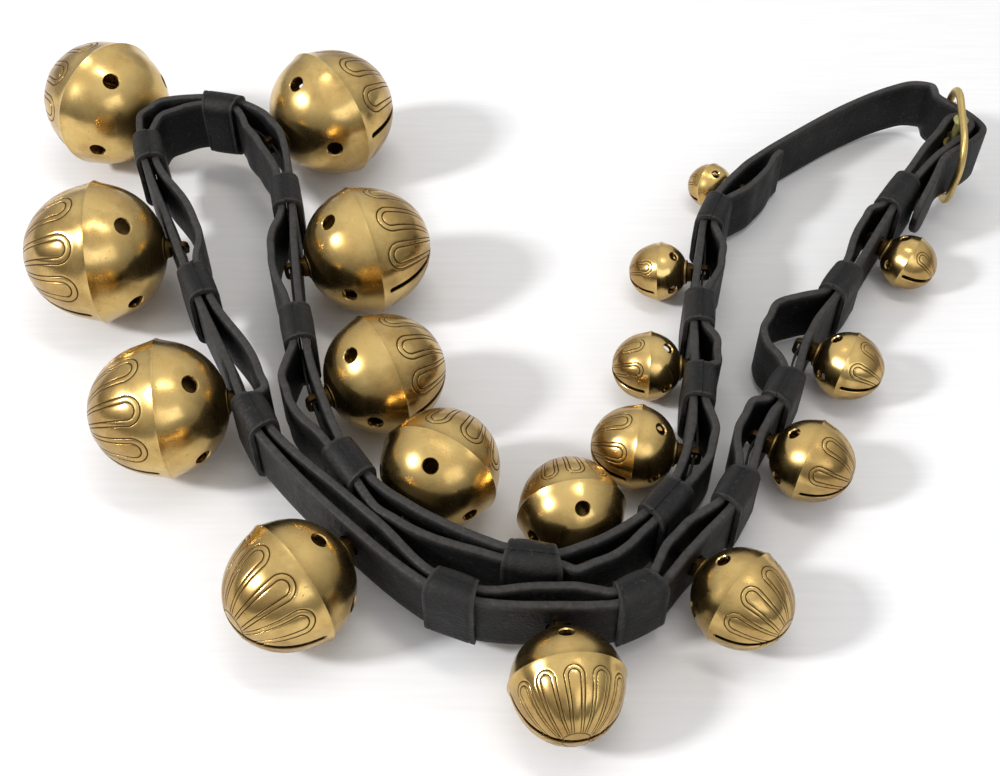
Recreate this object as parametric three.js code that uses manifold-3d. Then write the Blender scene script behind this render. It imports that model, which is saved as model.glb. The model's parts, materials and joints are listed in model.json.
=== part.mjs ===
// Sleigh bell strap: a leather harness strap with eighteen graduated brass crotal bells,
// buckled into a loop and laid down on its edge. Millimetres, +Z up.
import * as THREE from 'three';
import { mergeVertices } from 'three/addons/utils/BufferGeometryUtils.js';
import Module from 'manifold-3d';

const wasm = await Module();
wasm.setup();

// General fit
const CLEARANCE = 0.35;

// Leather: the bell-carrying strap, the liner behind it and the lace between them
const STRAP_WIDTH = 32;
const LEATHER = 4;
const LACE_WIDTH = 3.4;
const LACE_THICKNESS = 1.2;
const LINER_TAIL = 33;
const LACE_TAIL = 24;
const STATION_STEP = 19;
const BEND_STEP = 5.5;
const FLAT_REACH = 8;

// Keepers: leather sleeves that hold strap and liner together between the bells
const KEEPER_LENGTH = 22;
const KEEPER_WALL = 2.8;
const KEEPER_ROUND = 2.2;

// Bells, smallest at the ends of the strap and largest in the middle
const BELL_DIAMETERS = [31, 36.5, 41.5, 47, 51, 60.5, 68.5, 75.5, 74.5, 75, 69.5, 62.5, 59, 51, 42.5, 36.5, 32.5, 26.5];
const BELL_WALL = 2;
const RIDGE_SHIFT = 0.09;
const FRONT_BOWL = 1.05;
const SHANK_BOWL = 0.9;
const BOWL_POWER = 1.6;
const LARGE_BELL = 55;
const HOLE_LATITUDE = 36;
const HOLE_BASE = 1.9;
const HOLE_SHARE = 0.067;
const HOLE_SIDES = 5;
const SLOT_BASE = 1.2;
const SLOT_SHARE = 0.03;
const SLOT_REACH = 0.93;
const PEA_BASE = 4;
const PEA_SHARE = 0.2;

// Shank: the flat lug on each bell that passes through the strap and takes the lace
const SHANK_WIDTH = 10;
const SHANK_THICKNESS = 3.2;
const SHANK_NECK = 3;
const SHANK_ROOT = 0.7;
const SHANK_END = 1.9;
const EYE_HEIGHT = 6.4;
const EYE_DEPTH = 3;

// How each bell lies, in degrees: its turn about its shank, and the shank's lean along the strap
const BELL_TURNS = [-10, -5, 5, 2, -2, -8, -19, -22, -14, -3, 2, 4, 9, 6, 0, 0, -6, -10];
const BELL_LEANS = [0, 0, 0, -2, 5, -6, -13, -18, 0, 8, 14, 10, 9, -17, 4, 0, 0, 0];

// Room between strap and liner at each bell, where the liner bows away; the second is a slack bight
const LINER_ROOM = [6, 18, 7, 5.6, 5.6, 5.6, 8, 9, 8, 10, 8, 11, 5.8, 6, 7, 7, 8, 8];

// Lie of the strap on the floor: where it passes each keeper and each bell
const KEEPER_POINTS = [
  [223, 108], [182, 44], [142, -30], [111, -92], [61, -149], [-21, -150], [-118, -57], [-156, 26], [-199, 130],
  [-160, 175], [-113, 96], [-98, 2], [-67, -80], [14, -129], [73, -97], [95, -25], [100, 26], [115, 101],
];
const BELL_POINTS = [
  [209, 88], [158, 10], [127, -51], [86, -122], [25, -154], [-66, -116], [-126, -36], [-173, 66], [-203, 168],
  [-129, 154], [-107, 53], [-88, -34], [-42, -104], [37, -124], [90, -60], [98, -3], [107, 66], [136, 133],
];
const BILLET_POINTS = [[152, 150], [177, 171], [205, 192], [232, 206], [250, 207], [259, 197]];
const BILLET_HEIGHTS = [18, 17, 17, 19, 24, 29];
const BILLET_TIP = [[240, 113], [230, 99]];
const BILLET_TIP_HEIGHTS = [29, 26];

// Buckle: a cast frame with a centre bar, and the tongue that turns on the bar
const BUCKLE_POINT = [261, 155];
const BUCKLE_HEIGHT = 34;
const BUCKLE_HEADING = 84;
const BUCKLE_PITCH = 10;
const BUCKLE_LENGTH = 63;
const BUCKLE_WIDTH = 54;
const BUCKLE_CORNER = 20;
const BUCKLE_STOCK = 5.5;
const BAR_DIAMETER = 5;
const CHAPE_HEADING = 50;
const CHAPE_TAIL = 3;
const CHAPE_DRAW = 3.8;
const BILLET_GAP = 0.7;
const BILLET_BULGE = 1.5;
const BILLET_INSET = 5;
const TONGUE_WIDTH = 4.5;
const TONGUE_WALL = 2.2;
const TONGUE_ROOM = 2;

const COLOURS = {
  brass: new THREE.MeshStandardMaterial({ color: 0xb8914f, roughness: 0.3, metalness: 1 }),
  buckleBrass: new THREE.MeshStandardMaterial({ color: 0xbfa566, roughness: 0.4, metalness: 1 }),
  leather: new THREE.MeshStandardMaterial({ color: 0x2a2a2c, roughness: 0.55, metalness: 0 }),
  lace: new THREE.MeshStandardMaterial({ color: 0x1d1b1b, roughness: 0.6, metalness: 0 }),
  iron: new THREE.MeshStandardMaterial({ color: 0x4a423b, roughness: 0.7, metalness: 0.8 }),
};

const UP = new THREE.Vector3(0, 0, 1);
const radians = THREE.MathUtils.degToRad;
const part = new THREE.Group();

// Solids: three.js geometry to a manifold and back
function solid(geometry) {
  const bare = geometry.clone();
  for (const name of Object.keys(bare.attributes)) {
    if (name !== 'position') bare.deleteAttribute(name);
  }
  const merged = mergeVertices(bare, 1e-4);
  return new wasm.Manifold(new wasm.Mesh({
    numProp: 3,
    vertProperties: new Float32Array(merged.attributes.position.array),
    triVerts: new Uint32Array(merged.index.array),
  }));
}

function geometryOf(manifold) {
  const mesh = manifold.getMesh();
  const geometry = new THREE.BufferGeometry();
  geometry.setAttribute('position', new THREE.BufferAttribute(new Float32Array(mesh.vertProperties), 3));
  geometry.setIndex(new THREE.BufferAttribute(new Uint32Array(mesh.triVerts), 1));
  geometry.computeVertexNormals();
  return geometry;
}

function addMesh(name, geometry, material, parent = part) {
  const mesh = new THREE.Mesh(geometry, material);
  mesh.name = name;
  parent.add(mesh);
  return mesh;
}

// A closed solid lofted through rings of points, each ring a convex loop, with flat ends
function loft(rings) {
  const sides = rings[0].length;
  const positions = rings.flat().flatMap((point) => [point.x, point.y, point.z]);
  const index = [];
  for (let ring = 0; ring + 1 < rings.length; ring += 1) {
    for (let side = 0; side < sides; side += 1) {
      const a = ring * sides + side;
      const b = ring * sides + (side + 1) % sides;
      index.push(a, b, b + sides, a, b + sides, a + sides);
    }
  }
  const last = (rings.length - 1) * sides;
  for (let side = 1; side + 1 < sides; side += 1) {
    index.push(0, side + 1, side);
    index.push(last, last + side, last + side + 1);
  }
  const geometry = new THREE.BufferGeometry();
  geometry.setAttribute('position', new THREE.Float32BufferAttribute(positions, 3));
  geometry.setIndex(index);
  return geometry;
}

// Bell measures, each from its diameter
const bells = BELL_DIAMETERS.map((diameter, i) => {
  const radius = diameter / 2;
  const shankPole = radius * (RIDGE_SHIFT + SHANK_BOWL);
  const lever = shankPole + SHANK_NECK + LEATHER / 2;
  const restHeight = Math.max(radius, STRAP_WIDTH / 2 + CLEARANCE + KEEPER_WALL);
  return {
    number: String(i + 1).padStart(2, '0'),
    radius,
    shankPole,
    lever,
    restHeight,
    turn: radians(BELL_TURNS[i]),
    lean: radians(BELL_LEANS[i]),
    segments: diameter > LARGE_BELL ? 12 : 10,
    innerSegments: diameter > LARGE_BELL ? 16 : 12,
  };
});

// Buckle frame axes: along the frame, towards the inside of the loop, and along the bar
const heading = radians(BUCKLE_HEADING);
const pitch = radians(BUCKLE_PITCH);
const buckleCentre = new THREE.Vector3(...BUCKLE_POINT, BUCKLE_HEIGHT);
const buckleAlong = new THREE.Vector3(
  Math.cos(heading) * Math.cos(pitch), Math.sin(heading) * Math.cos(pitch), Math.sin(pitch));
const buckleInward = new THREE.Vector3(-Math.sin(heading), Math.cos(heading), 0);
const buckleBar = new THREE.Vector3().crossVectors(buckleAlong, buckleInward);
const chapeAlong = new THREE.Vector3(Math.cos(radians(CHAPE_HEADING)), Math.sin(radians(CHAPE_HEADING)), 0);
const chapeInward = new THREE.Vector3(-chapeAlong.y, chapeAlong.x, 0);

function bucklePoint(along, inward, height = BUCKLE_HEIGHT) {
  const point = new THREE.Vector3(...BUCKLE_POINT, 0);
  point.addScaledVector(new THREE.Vector3(Math.cos(heading), Math.sin(heading), 0), along);
  point.addScaledVector(buckleInward, inward);
  point.z = height;
  return point;
}

// Path of the strap's middle, from the folded tail inside the first keeper, round the bar,
// past every keeper and bell, through the buckle and on to the billet's tip
const layerGap = LACE_THICKNESS + 2 * CLEARANCE;
const tailOffset = LEATHER + layerGap;
const barLean = Math.tan(pitch) * (STRAP_WIDTH + BAR_DIAMETER) / 2;
const chapeTurn = heading - radians(CHAPE_HEADING);
const foldSlack = barLean * Math.cos(chapeTurn);
const foldRadius = BAR_DIAMETER / 2 + CLEARANCE + LEATHER / 2 + barLean * Math.sin(chapeTurn);
const firstKeeperHeight = (bells[0].restHeight + BUCKLE_HEIGHT) / 2 - 3;

function keeperHeight(i) {
  return i === 0 ? firstKeeperHeight : (bells[i - 1].restHeight + bells[i].restHeight) / 2;
}

function chapePoint(along, inward, height) {
  const point = new THREE.Vector3(...BUCKLE_POINT, height);
  return point.addScaledVector(chapeAlong, along).addScaledVector(chapeInward, inward);
}

// The main run starts at the outer side of the fold; the fold and the tail are added in strapSolid
const billetReach = (BUCKLE_LENGTH - BUCKLE_STOCK) / 2 * Math.cos(pitch);
const route = [
  chapePoint(foldSlack, -foldRadius, BUCKLE_HEIGHT),
  chapePoint(-foldSlack - foldRadius, -foldRadius, BUCKLE_HEIGHT),
  chapePoint(-billetReach, CHAPE_DRAW - foldRadius, BUCKLE_HEIGHT - 3),
];
const firstMain = route.length;
KEEPER_POINTS.forEach((point, i) => {
  route.push(new THREE.Vector3(...point, keeperHeight(i)));
  route.push(new THREE.Vector3(...BELL_POINTS[i], bells[i].restHeight));
});
BILLET_POINTS.forEach((point, i) => route.push(new THREE.Vector3(...point, BILLET_HEIGHTS[i])));
const billetOutside = foldRadius + LEATHER + BILLET_GAP + BILLET_BULGE;
const billetInside = (BUCKLE_STOCK + LEATHER) / 2 + CLEARANCE;
route.push(bucklePoint(billetReach, billetInside + BILLET_INSET));
route.push(chapePoint(foldSlack + LEATHER, -billetOutside, BUCKLE_HEIGHT));
const nearEndInside = (billetInside + 4 * CLEARANCE + barLean * Math.sin(chapeTurn)) / Math.cos(chapeTurn);
route.push(bucklePoint(-billetReach, nearEndInside, BUCKLE_HEIGHT - 2));
BILLET_TIP.forEach((point, i) => route.push(new THREE.Vector3(...point, BILLET_TIP_HEIGHTS[i])));

const strapCurve = new THREE.CatmullRomCurve3(route, false, 'centripetal');
const SAMPLES = 24;
strapCurve.arcLengthDivisions = (route.length - 1) * SAMPLES;
const lengths = strapCurve.getLengths();
const strapLength = strapCurve.getLength();
const stationOf = (routeIndex) => lengths[routeIndex * SAMPLES];
const keeperStations = KEEPER_POINTS.map((_, i) => stationOf(firstMain + 2 * i));
const bellStations = BELL_POINTS.map((_, i) => stationOf(firstMain + 2 * i + 1));

// Place on the strap: middle of its thickness and width, and the level direction out to the bells
function placeAt(station) {
  const share = THREE.MathUtils.clamp(station / strapLength, 0, 1);
  const middle = strapCurve.getPointAt(share);
  const tangent = strapCurve.getTangentAt(share).setZ(0).normalize();
  const outward = new THREE.Vector3(-tangent.y, tangent.x, 0);
  return { middle, outward };
}

// Four-cornered section of a band, square to its run
function bandRing(middle, outward, thickness, width) {
  const corners = [[-1, -1], [1, -1], [1, 1], [-1, 1]];
  return corners.map(([across, high]) => middle.clone()
    .addScaledVector(outward, across * thickness / 2)
    .addScaledVector(UP, high * width / 2));
}

// Section across the strap's run, shifted outward and upward from the strap's middle
function section(station, shift, lift, thickness, width) {
  const { middle, outward } = placeAt(station);
  return bandRing(middle.addScaledVector(outward, shift).addScaledVector(UP, lift), outward, thickness, width);
}

// Ring on the straight line through two others, at a share of the way from the first to the second
function between(first, second, share) {
  return first.map((point, i) => point.clone().lerp(second[i], share));
}

function spread(from, to, step) {
  const count = Math.max(1, Math.ceil((to - from) / step));
  return Array.from({ length: count }, (_, i) => from + (to - from) * i / count);
}

// Stations along the belled stretch: both ends of each keeper, both ends of the flat that each bell
// sits on, and between them
function belledStations() {
  const stations = [];
  keeperStations.forEach((keeper, i) => {
    const start = keeper - KEEPER_LENGTH / 2;
    const end = keeper + KEEPER_LENGTH / 2;
    const next = i + 1 < keeperStations.length
      ? keeperStations[i + 1] - KEEPER_LENGTH / 2
      : bellStations[i] + LINER_TAIL;
    stations.push(start);
    stations.push(...spread(end, bellStations[i] - FLAT_REACH, STATION_STEP));
    stations.push(bellStations[i] - FLAT_REACH);
    stations.push(...spread(bellStations[i] + FLAT_REACH, next, STATION_STEP));
  });
  stations.push(bellStations.at(-1) + LINER_TAIL);
  return stations;
}

// How far the liner's bow has opened at a station: 0 at the keepers, 1 at the bell between them
function bowAt(station) {
  let i = 0;
  while (i + 1 < keeperStations.length && station > keeperStations[i + 1]) i += 1;
  const start = keeperStations[i] + KEEPER_LENGTH / 2;
  const bell = bellStations[i];
  const end = i + 1 < keeperStations.length ? keeperStations[i + 1] - KEEPER_LENGTH / 2 : bell + LINER_TAIL;
  const reach = station < bell ? bell - start : end - bell;
  const away = Math.abs(station - bell) - FLAT_REACH;
  const share = 1 - away / (reach - FLAT_REACH);
  const rise = Math.sin(Math.PI / 2 * THREE.MathUtils.clamp(share, 0, 1)) ** 2;
  return { bell: i, rise };
}

// Bell axes: outward from the strap and leaning along it, and drooping on the small bells until they
// rest on the floor
bells.forEach((bell, i) => {
  const before = placeAt(bellStations[i] - FLAT_REACH).middle;
  const after = placeAt(bellStations[i] + FLAT_REACH).middle;
  const run = after.clone().sub(before).setZ(0).normalize();
  const outward = new THREE.Vector3(-run.y, run.x, 0).applyAxisAngle(UP, bell.lean);
  bell.hold = before.lerp(after, 0.5);
  bell.droop = Math.asin((bell.hold.z - bell.radius) / bell.lever);
  bell.axis = outward.clone().multiplyScalar(Math.cos(bell.droop)).addScaledVector(UP, -Math.sin(bell.droop));
  bell.centre = bell.hold.clone().addScaledVector(bell.axis, bell.lever);
  bell.high = UP.clone().addScaledVector(bell.axis, -bell.axis.z).normalize();
  bell.side = new THREE.Vector3().crossVectors(bell.axis, bell.high);
});

const eyeOffset = LEATHER / 2 + EYE_DEPTH / 2 + CLEARANCE / 3;

function linerShift(station) {
  const { bell, rise } = bowAt(station);
  return -(LEATHER + layerGap + (LINER_ROOM[bell] - layerGap) * rise);
}

function laceSection(station) {
  const { bell, rise } = bowAt(station);
  const rest = LEATHER / 2 + layerGap / 2;
  const { droop, lean } = bells[bell];
  const shift = -(rest + (eyeOffset * Math.cos(droop) * Math.cos(lean) - rest) * rise);
  const lift = eyeOffset * Math.sin(droop) * rise;
  return section(station, shift, lift, LACE_THICKNESS, LACE_WIDTH);
}

// Strap and liner
const mainStart = keeperStations[0] - KEEPER_LENGTH / 2;
const firstKeeperEnd = keeperStations[0] + KEEPER_LENGTH / 2;
const tailShare = 0.5 - CHAPE_TAIL / KEEPER_LENGTH;
const linerShare = 0.5 + CHAPE_TAIL / KEEPER_LENGTH;
const belled = belledStations();
const linerEnd = bellStations.at(-1) + LINER_TAIL;
const billetTurn = stationOf(firstMain + 2 * KEEPER_POINTS.length + BILLET_POINTS.length - 2);

// Tail of the fold: beside the run on its inner side, drawing in from the bar's width to the first keeper
function tailRing(station) {
  const { middle, outward } = placeAt(station);
  const share = THREE.MathUtils.smoothstep(station, 0, mainStart);
  const shift = THREE.MathUtils.lerp(2 * foldRadius, tailOffset, share);
  return bandRing(middle.addScaledVector(outward, -shift), outward.negate(), LEATHER, STRAP_WIDTH);
}

function foldRings() {
  const middle = chapePoint(foldSlack, 0, BUCKLE_HEIGHT);
  const steps = 6;
  return Array.from({ length: steps - 1 }, (_, i) => {
    const turn = Math.PI * (i + 1) / steps;
    const outward = chapeInward.clone().multiplyScalar(Math.cos(turn)).addScaledVector(chapeAlong, Math.sin(turn));
    return bandRing(middle.clone().addScaledVector(outward, foldRadius), outward, LEATHER, STRAP_WIDTH);
  });
}

function strapSolid() {
  const chape = spread(0, mainStart, BEND_STEP);
  const billet = [
    ...spread(linerEnd, billetTurn, STATION_STEP).slice(1),
    ...spread(billetTurn, strapLength, BEND_STEP),
    strapLength,
  ];
  const tail = [...chape, mainStart].reverse();
  const run = [...chape, ...belled, ...billet];
  return solid(loft([
    between(tailRing(mainStart), tailRing(firstKeeperEnd), tailShare),
    ...tail.map(tailRing),
    ...foldRings(),
    ...run.map((station) => section(station, 0, 0, LEATHER, STRAP_WIDTH)),
  ]));
}

// Liner and lace start inside the first keeper, just clear of the folded tail
function fromFirstKeeper(ringAt, stations) {
  const start = between(ringAt(mainStart), ringAt(firstKeeperEnd), linerShare);
  return loft([start, ...stations.map(ringAt)]);
}

function linerSection(station) {
  return section(station, linerShift(station), 0, LEATHER, STRAP_WIDTH);
}

const linerStations = belled.filter((station) => station >= firstKeeperEnd);
const linerGeometry = fromFirstKeeper(linerSection, linerStations);
const laceEnd = bellStations.at(-1) + LACE_TAIL;
const laceStations = [...linerStations.filter((station) => station < laceEnd - 1), laceEnd];
const laceGeometry = fromFirstKeeper(laceSection, laceStations);

// Keepers: rounded sleeves round both layers, straight from end to end
const BORE_OVERRUN = 0.1;

function keeperGeometry(station) {
  const ends = [station - KEEPER_LENGTH / 2, station + KEEPER_LENGTH / 2];
  const shift = -(LEATHER + layerGap) / 2;
  const roomThick = 2 * LEATHER + layerGap + 2 * CLEARANCE;
  const roomWide = STRAP_WIDTH + 2 * CLEARANCE;
  const halfThick = roomThick / 2 + KEEPER_WALL;
  const halfWide = roomWide / 2 + KEEPER_WALL;
  const loop = [];
  for (const [across, high] of [[1, 1], [-1, 1], [-1, -1], [1, -1]]) {
    const nearFirst = across * high < 0;
    const pair = [[halfThick, halfWide - KEEPER_ROUND], [halfThick - KEEPER_ROUND, halfWide]];
    if (nearFirst) pair.reverse();
    pair.forEach(([thick, wide]) => loop.push([across * thick, high * wide]));
  }
  const outer = ends.map((at) => {
    const { middle, outward } = placeAt(at);
    return loop.map(([across, high]) => middle.clone()
      .addScaledVector(outward, shift + across).addScaledVector(UP, high));
  });
  const [first, last] = ends.map((at) => section(at, shift, 0, roomThick, roomWide));
  const bore = [between(first, last, -BORE_OVERRUN), between(last, first, -BORE_OVERRUN)];
  return geometryOf(solid(loft(outer)).subtract(solid(loft(bore))));
}

const FRONT_SHARES = [0, 0.5, 0.85, 1];
const BOWL_SHARES = [0, 0.5, 1];

// Bell profile: two bowls that meet at a ridge, from the front pole to the shank pole
function bowlProfile(radius, wall, frontShares) {
  const ridge = -RIDGE_SHIFT * radius;
  const half = (depth, sign, shares) => shares.map((share) => new THREE.Vector2(
    (radius - wall) * Math.sqrt(1 - share ** BOWL_POWER),
    ridge + sign * share * (depth * radius - wall)));
  const front = half(FRONT_BOWL, 1, frontShares).reverse();
  const back = half(SHANK_BOWL, -1, BOWL_SHARES).slice(1);
  return [...front, ...back].reverse();
}

function turned(profile, segments) {
  return new THREE.LatheGeometry(profile, segments).rotateX(Math.PI / 2);
}

function shankGeometry(bell) {
  const eyeAt = bell.shankPole + SHANK_NECK + LEATHER / 2 + eyeOffset;
  const end = eyeAt + EYE_DEPTH / 2 + SHANK_END;
  const root = bell.shankPole - BELL_WALL * SHANK_ROOT;
  const half = SHANK_WIDTH / 2;
  const shape = new THREE.Shape();
  shape.moveTo(-half, root);
  shape.lineTo(half, root);
  shape.lineTo(half, end - SHANK_END);
  shape.lineTo(half - SHANK_END, end);
  shape.lineTo(-half + SHANK_END, end);
  shape.lineTo(-half, end - SHANK_END);
  const eye = new THREE.Path();
  eye.moveTo(-EYE_HEIGHT / 2, eyeAt - EYE_DEPTH / 2);
  eye.lineTo(-EYE_HEIGHT / 2, eyeAt + EYE_DEPTH / 2);
  eye.lineTo(EYE_HEIGHT / 2, eyeAt + EYE_DEPTH / 2);
  eye.lineTo(EYE_HEIGHT / 2, eyeAt - EYE_DEPTH / 2);
  shape.holes.push(eye);
  const plate = new THREE.ExtrudeGeometry(shape, { depth: SHANK_THICKNESS, bevelEnabled: false });
  return plate.translate(0, 0, -SHANK_THICKNESS / 2).rotateX(-Math.PI / 2);
}

// Bell in its own axes: +Z out through the slot, +X towards the upper hole, slot along Y
function bellGeometry(bell) {
  const { radius, segments, innerSegments } = bell;
  let shell = solid(turned(bowlProfile(radius, 0, FRONT_SHARES), segments))
    .subtract(solid(turned(bowlProfile(radius, BELL_WALL, BOWL_SHARES), innerSegments)));
  const slotWidth = SLOT_BASE + SLOT_SHARE * 2 * radius;
  const slot = new THREE.BoxGeometry(slotWidth, 2 * SLOT_REACH * radius, 2 * radius);
  shell = shell.subtract(solid(slot.translate(0, 0, radius)));
  const holeRadius = (HOLE_BASE + HOLE_SHARE * 2 * radius) / 2;
  for (let quarter = 0; quarter < 4; quarter += 1) {
    const drill = new THREE.CylinderGeometry(holeRadius, holeRadius, radius, HOLE_SIDES);
    drill.translate(0, radius, 0).rotateZ(-Math.PI / 2).rotateY(radians(HOLE_LATITUDE));
    drill.rotateZ(quarter * Math.PI / 2);
    shell = shell.subtract(solid(drill));
  }
  return geometryOf(shell.add(solid(shankGeometry(bell))));
}

function turnWithBell(mesh, bell, localAxis, angle) {
  const spin = new THREE.Quaternion().setFromAxisAngle(localAxis, angle);
  mesh.quaternion.setFromRotationMatrix(new THREE.Matrix4().makeBasis(bell.high, bell.side, bell.axis));
  mesh.quaternion.multiply(spin);
}

function addBell(bell) {
  const mesh = addMesh(`bell_${bell.number}`, bellGeometry(bell), COLOURS.brass);
  turnWithBell(mesh, bell, UP, bell.turn);
  mesh.position.copy(bell.centre);
}

// Pea: the loose iron ball that lies at the bottom of the bell, under the ridge, turned so that two
// of its corners bear on the two bowls
const PEA_TURN = Math.PI / 8;

function addPea(bell) {
  const radius = (PEA_BASE + PEA_SHARE * 2 * bell.radius) / 2;
  const inner = (bell.radius - BELL_WALL) * Math.cos(Math.PI / bell.innerSegments);
  const bowlLean = Math.atan2(
    (bell.radius - BELL_WALL) * (1 - Math.sqrt(1 - BOWL_SHARES[1] ** BOWL_POWER)),
    BOWL_SHARES[1] * (SHANK_BOWL * bell.radius - BELL_WALL));
  const depth = inner - radius / Math.cos(bowlLean) - CLEARANCE / 2;
  const pea = addMesh(`pea_${bell.number}`, new THREE.OctahedronGeometry(radius, 1), COLOURS.iron);
  turnWithBell(pea, bell, new THREE.Vector3(0, 1, 0), PEA_TURN);
  pea.position.copy(bell.centre)
    .addScaledVector(bell.axis, -RIDGE_SHIFT * bell.radius)
    .addScaledVector(bell.high, -depth);
}

// Buckle frame and tongue, in the frame's own axes: X along, Y inward, Z along the bar
function ringGeometry() {
  const halfLong = (BUCKLE_LENGTH - BUCKLE_STOCK) / 2;
  const halfWide = (BUCKLE_WIDTH - BUCKLE_STOCK) / 2;
  const corner = BUCKLE_CORNER - BUCKLE_STOCK / 2;
  const rings = [];
  const cornerSteps = 5;
  const sides = 8;
  [[1, 1], [-1, 1], [-1, -1], [1, -1]].forEach(([alongSign, barSign], quarter) => {
    for (let step = 0; step < cornerSteps; step += 1) {
      const angle = Math.PI / 2 * (quarter + step / (cornerSteps - 1));
      const middle = new THREE.Vector3(alongSign * (halfLong - corner) + corner * Math.cos(angle), 0,
        barSign * (halfWide - corner) + corner * Math.sin(angle));
      const out = new THREE.Vector3(Math.cos(angle), 0, Math.sin(angle));
      rings.push(Array.from({ length: sides }, (_, side) => {
        const round = 2 * Math.PI * side / sides;
        return middle.clone().addScaledVector(out, Math.cos(round) * BUCKLE_STOCK / 2)
          .add(new THREE.Vector3(0, Math.sin(round) * BUCKLE_STOCK / 2, 0));
      }));
    }
  });
  const positions = rings.flat().flatMap((point) => [point.x, point.y, point.z]);
  const index = [];
  for (let ring = 0; ring < rings.length; ring += 1) {
    for (let side = 0; side < sides; side += 1) {
      const next = (ring + 1) % rings.length;
      const a = ring * sides + side;
      const b = ring * sides + (side + 1) % sides;
      const c = next * sides + (side + 1) % sides;
      const d = next * sides + side;
      index.push(a, b, c, a, c, d);
    }
  }
  const geometry = new THREE.BufferGeometry();
  geometry.setAttribute('position', new THREE.Float32BufferAttribute(positions, 3));
  geometry.setIndex(index);
  return geometry;
}

function upright(geometry) {
  return geometry.rotateX(Math.PI / 2);
}

function buckleFrameSolid() {
  const barLength = BUCKLE_WIDTH - BUCKLE_STOCK;
  const bar = upright(new THREE.CylinderGeometry(BAR_DIAMETER / 2, BAR_DIAMETER / 2, barLength, 10));
  return solid(ringGeometry()).add(solid(bar));
}

const tongueEye = BAR_DIAMETER / 2 + CLEARANCE;
const tongueHub = tongueEye + TONGUE_WALL;
const tongueTip = BUCKLE_LENGTH / 2 + 1;

function tongueShape(spare) {
  const rimTop = -(BUCKLE_STOCK / 2 + CLEARANCE);
  const shape = new THREE.Shape();
  shape.moveTo(0, tongueEye - TONGUE_WALL + spare);
  shape.lineTo(0, -tongueHub - spare);
  shape.lineTo(tongueTip + spare, rimTop - TONGUE_WALL - spare);
  shape.lineTo(tongueTip + spare, rimTop + spare);
  shape.lineTo(BUCKLE_LENGTH / 2 - BUCKLE_STOCK - CLEARANCE, rimTop + spare);
  return shape;
}

function tongueBlade(spare) {
  const depth = TONGUE_WIDTH + 2 * spare;
  const blade = new THREE.ExtrudeGeometry(tongueShape(spare), { depth, bevelEnabled: false });
  return solid(blade.translate(0, 0, -depth / 2));
}

function tongueSolid() {
  const hub = upright(new THREE.CylinderGeometry(tongueHub, tongueHub, TONGUE_WIDTH, 12));
  const bore = upright(new THREE.CylinderGeometry(tongueEye, tongueEye, TONGUE_WIDTH + 2, 12));
  return tongueBlade(0).add(solid(hub)).subtract(solid(bore));
}

const buckleFrameMatrix = new THREE.Matrix4().makeBasis(buckleAlong, buckleInward, buckleBar)
  .setPosition(buckleCentre);

function placeOnBuckle(mesh) {
  mesh.position.copy(buckleCentre);
  mesh.quaternion.setFromRotationMatrix(buckleFrameMatrix);
  return mesh;
}

// Holes in the strap: one for each shank, a slot in the fold for the tongue's hub, and the tongue's own hole
function strapHoles() {
  const cuts = [];
  const shankRadius = Math.hypot(SHANK_WIDTH, SHANK_THICKNESS) / 2 + CLEARANCE;
  const holeSides = 6;
  bells.forEach((bell) => {
    const across = shankRadius / Math.cos(Math.PI / holeSides);
    const drill = upright(new THREE.CylinderGeometry(across, across, 4 * LEATHER, holeSides));
    drill.applyMatrix4(new THREE.Matrix4().makeBasis(bell.high, bell.side, bell.axis).setPosition(bell.hold));
    cuts.push(solid(drill));
  });
  const reach = tongueHub + TONGUE_ROOM;
  const hubRoom = upright(new THREE.CylinderGeometry(reach, reach, TONGUE_WIDTH + 2 * TONGUE_ROOM, 16));
  cuts.push(solid(hubRoom.applyMatrix4(buckleFrameMatrix)));
  cuts.push(tongueBlade(TONGUE_ROOM).transform(buckleFrameMatrix.elements));
  return cuts;
}

// Assembly
const strap = strapHoles().reduce((leather, hole) => leather.subtract(hole), strapSolid());
addMesh('outer_strap', geometryOf(strap), COLOURS.leather);
addMesh('liner_strap', linerGeometry, COLOURS.leather);
addMesh('shank_lace', laceGeometry, COLOURS.lace);
keeperStations.forEach((station, i) => {
  addMesh(`keeper_${String(i + 1).padStart(2, '0')}`, keeperGeometry(station), COLOURS.leather);
});
bells.forEach((bell) => {
  addBell(bell);
  addPea(bell);
});
placeOnBuckle(addMesh('buckle_frame', geometryOf(buckleFrameSolid()), COLOURS.buckleBrass));
placeOnBuckle(addMesh('buckle_tongue', geometryOf(tongueSolid()), COLOURS.buckleBrass));

// Origin at the middle of the underside
part.updateMatrixWorld(true);
const box = new THREE.Box3().setFromObject(part, true);
const middle = box.getCenter(new THREE.Vector3());
part.position.set(-middle.x, -middle.y, -box.min.z);
part.updateMatrixWorld(true);

export default part;
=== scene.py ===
import json
import math

import bmesh
import bpy
import numpy as np
from mathutils import Matrix, Vector, noise


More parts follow.
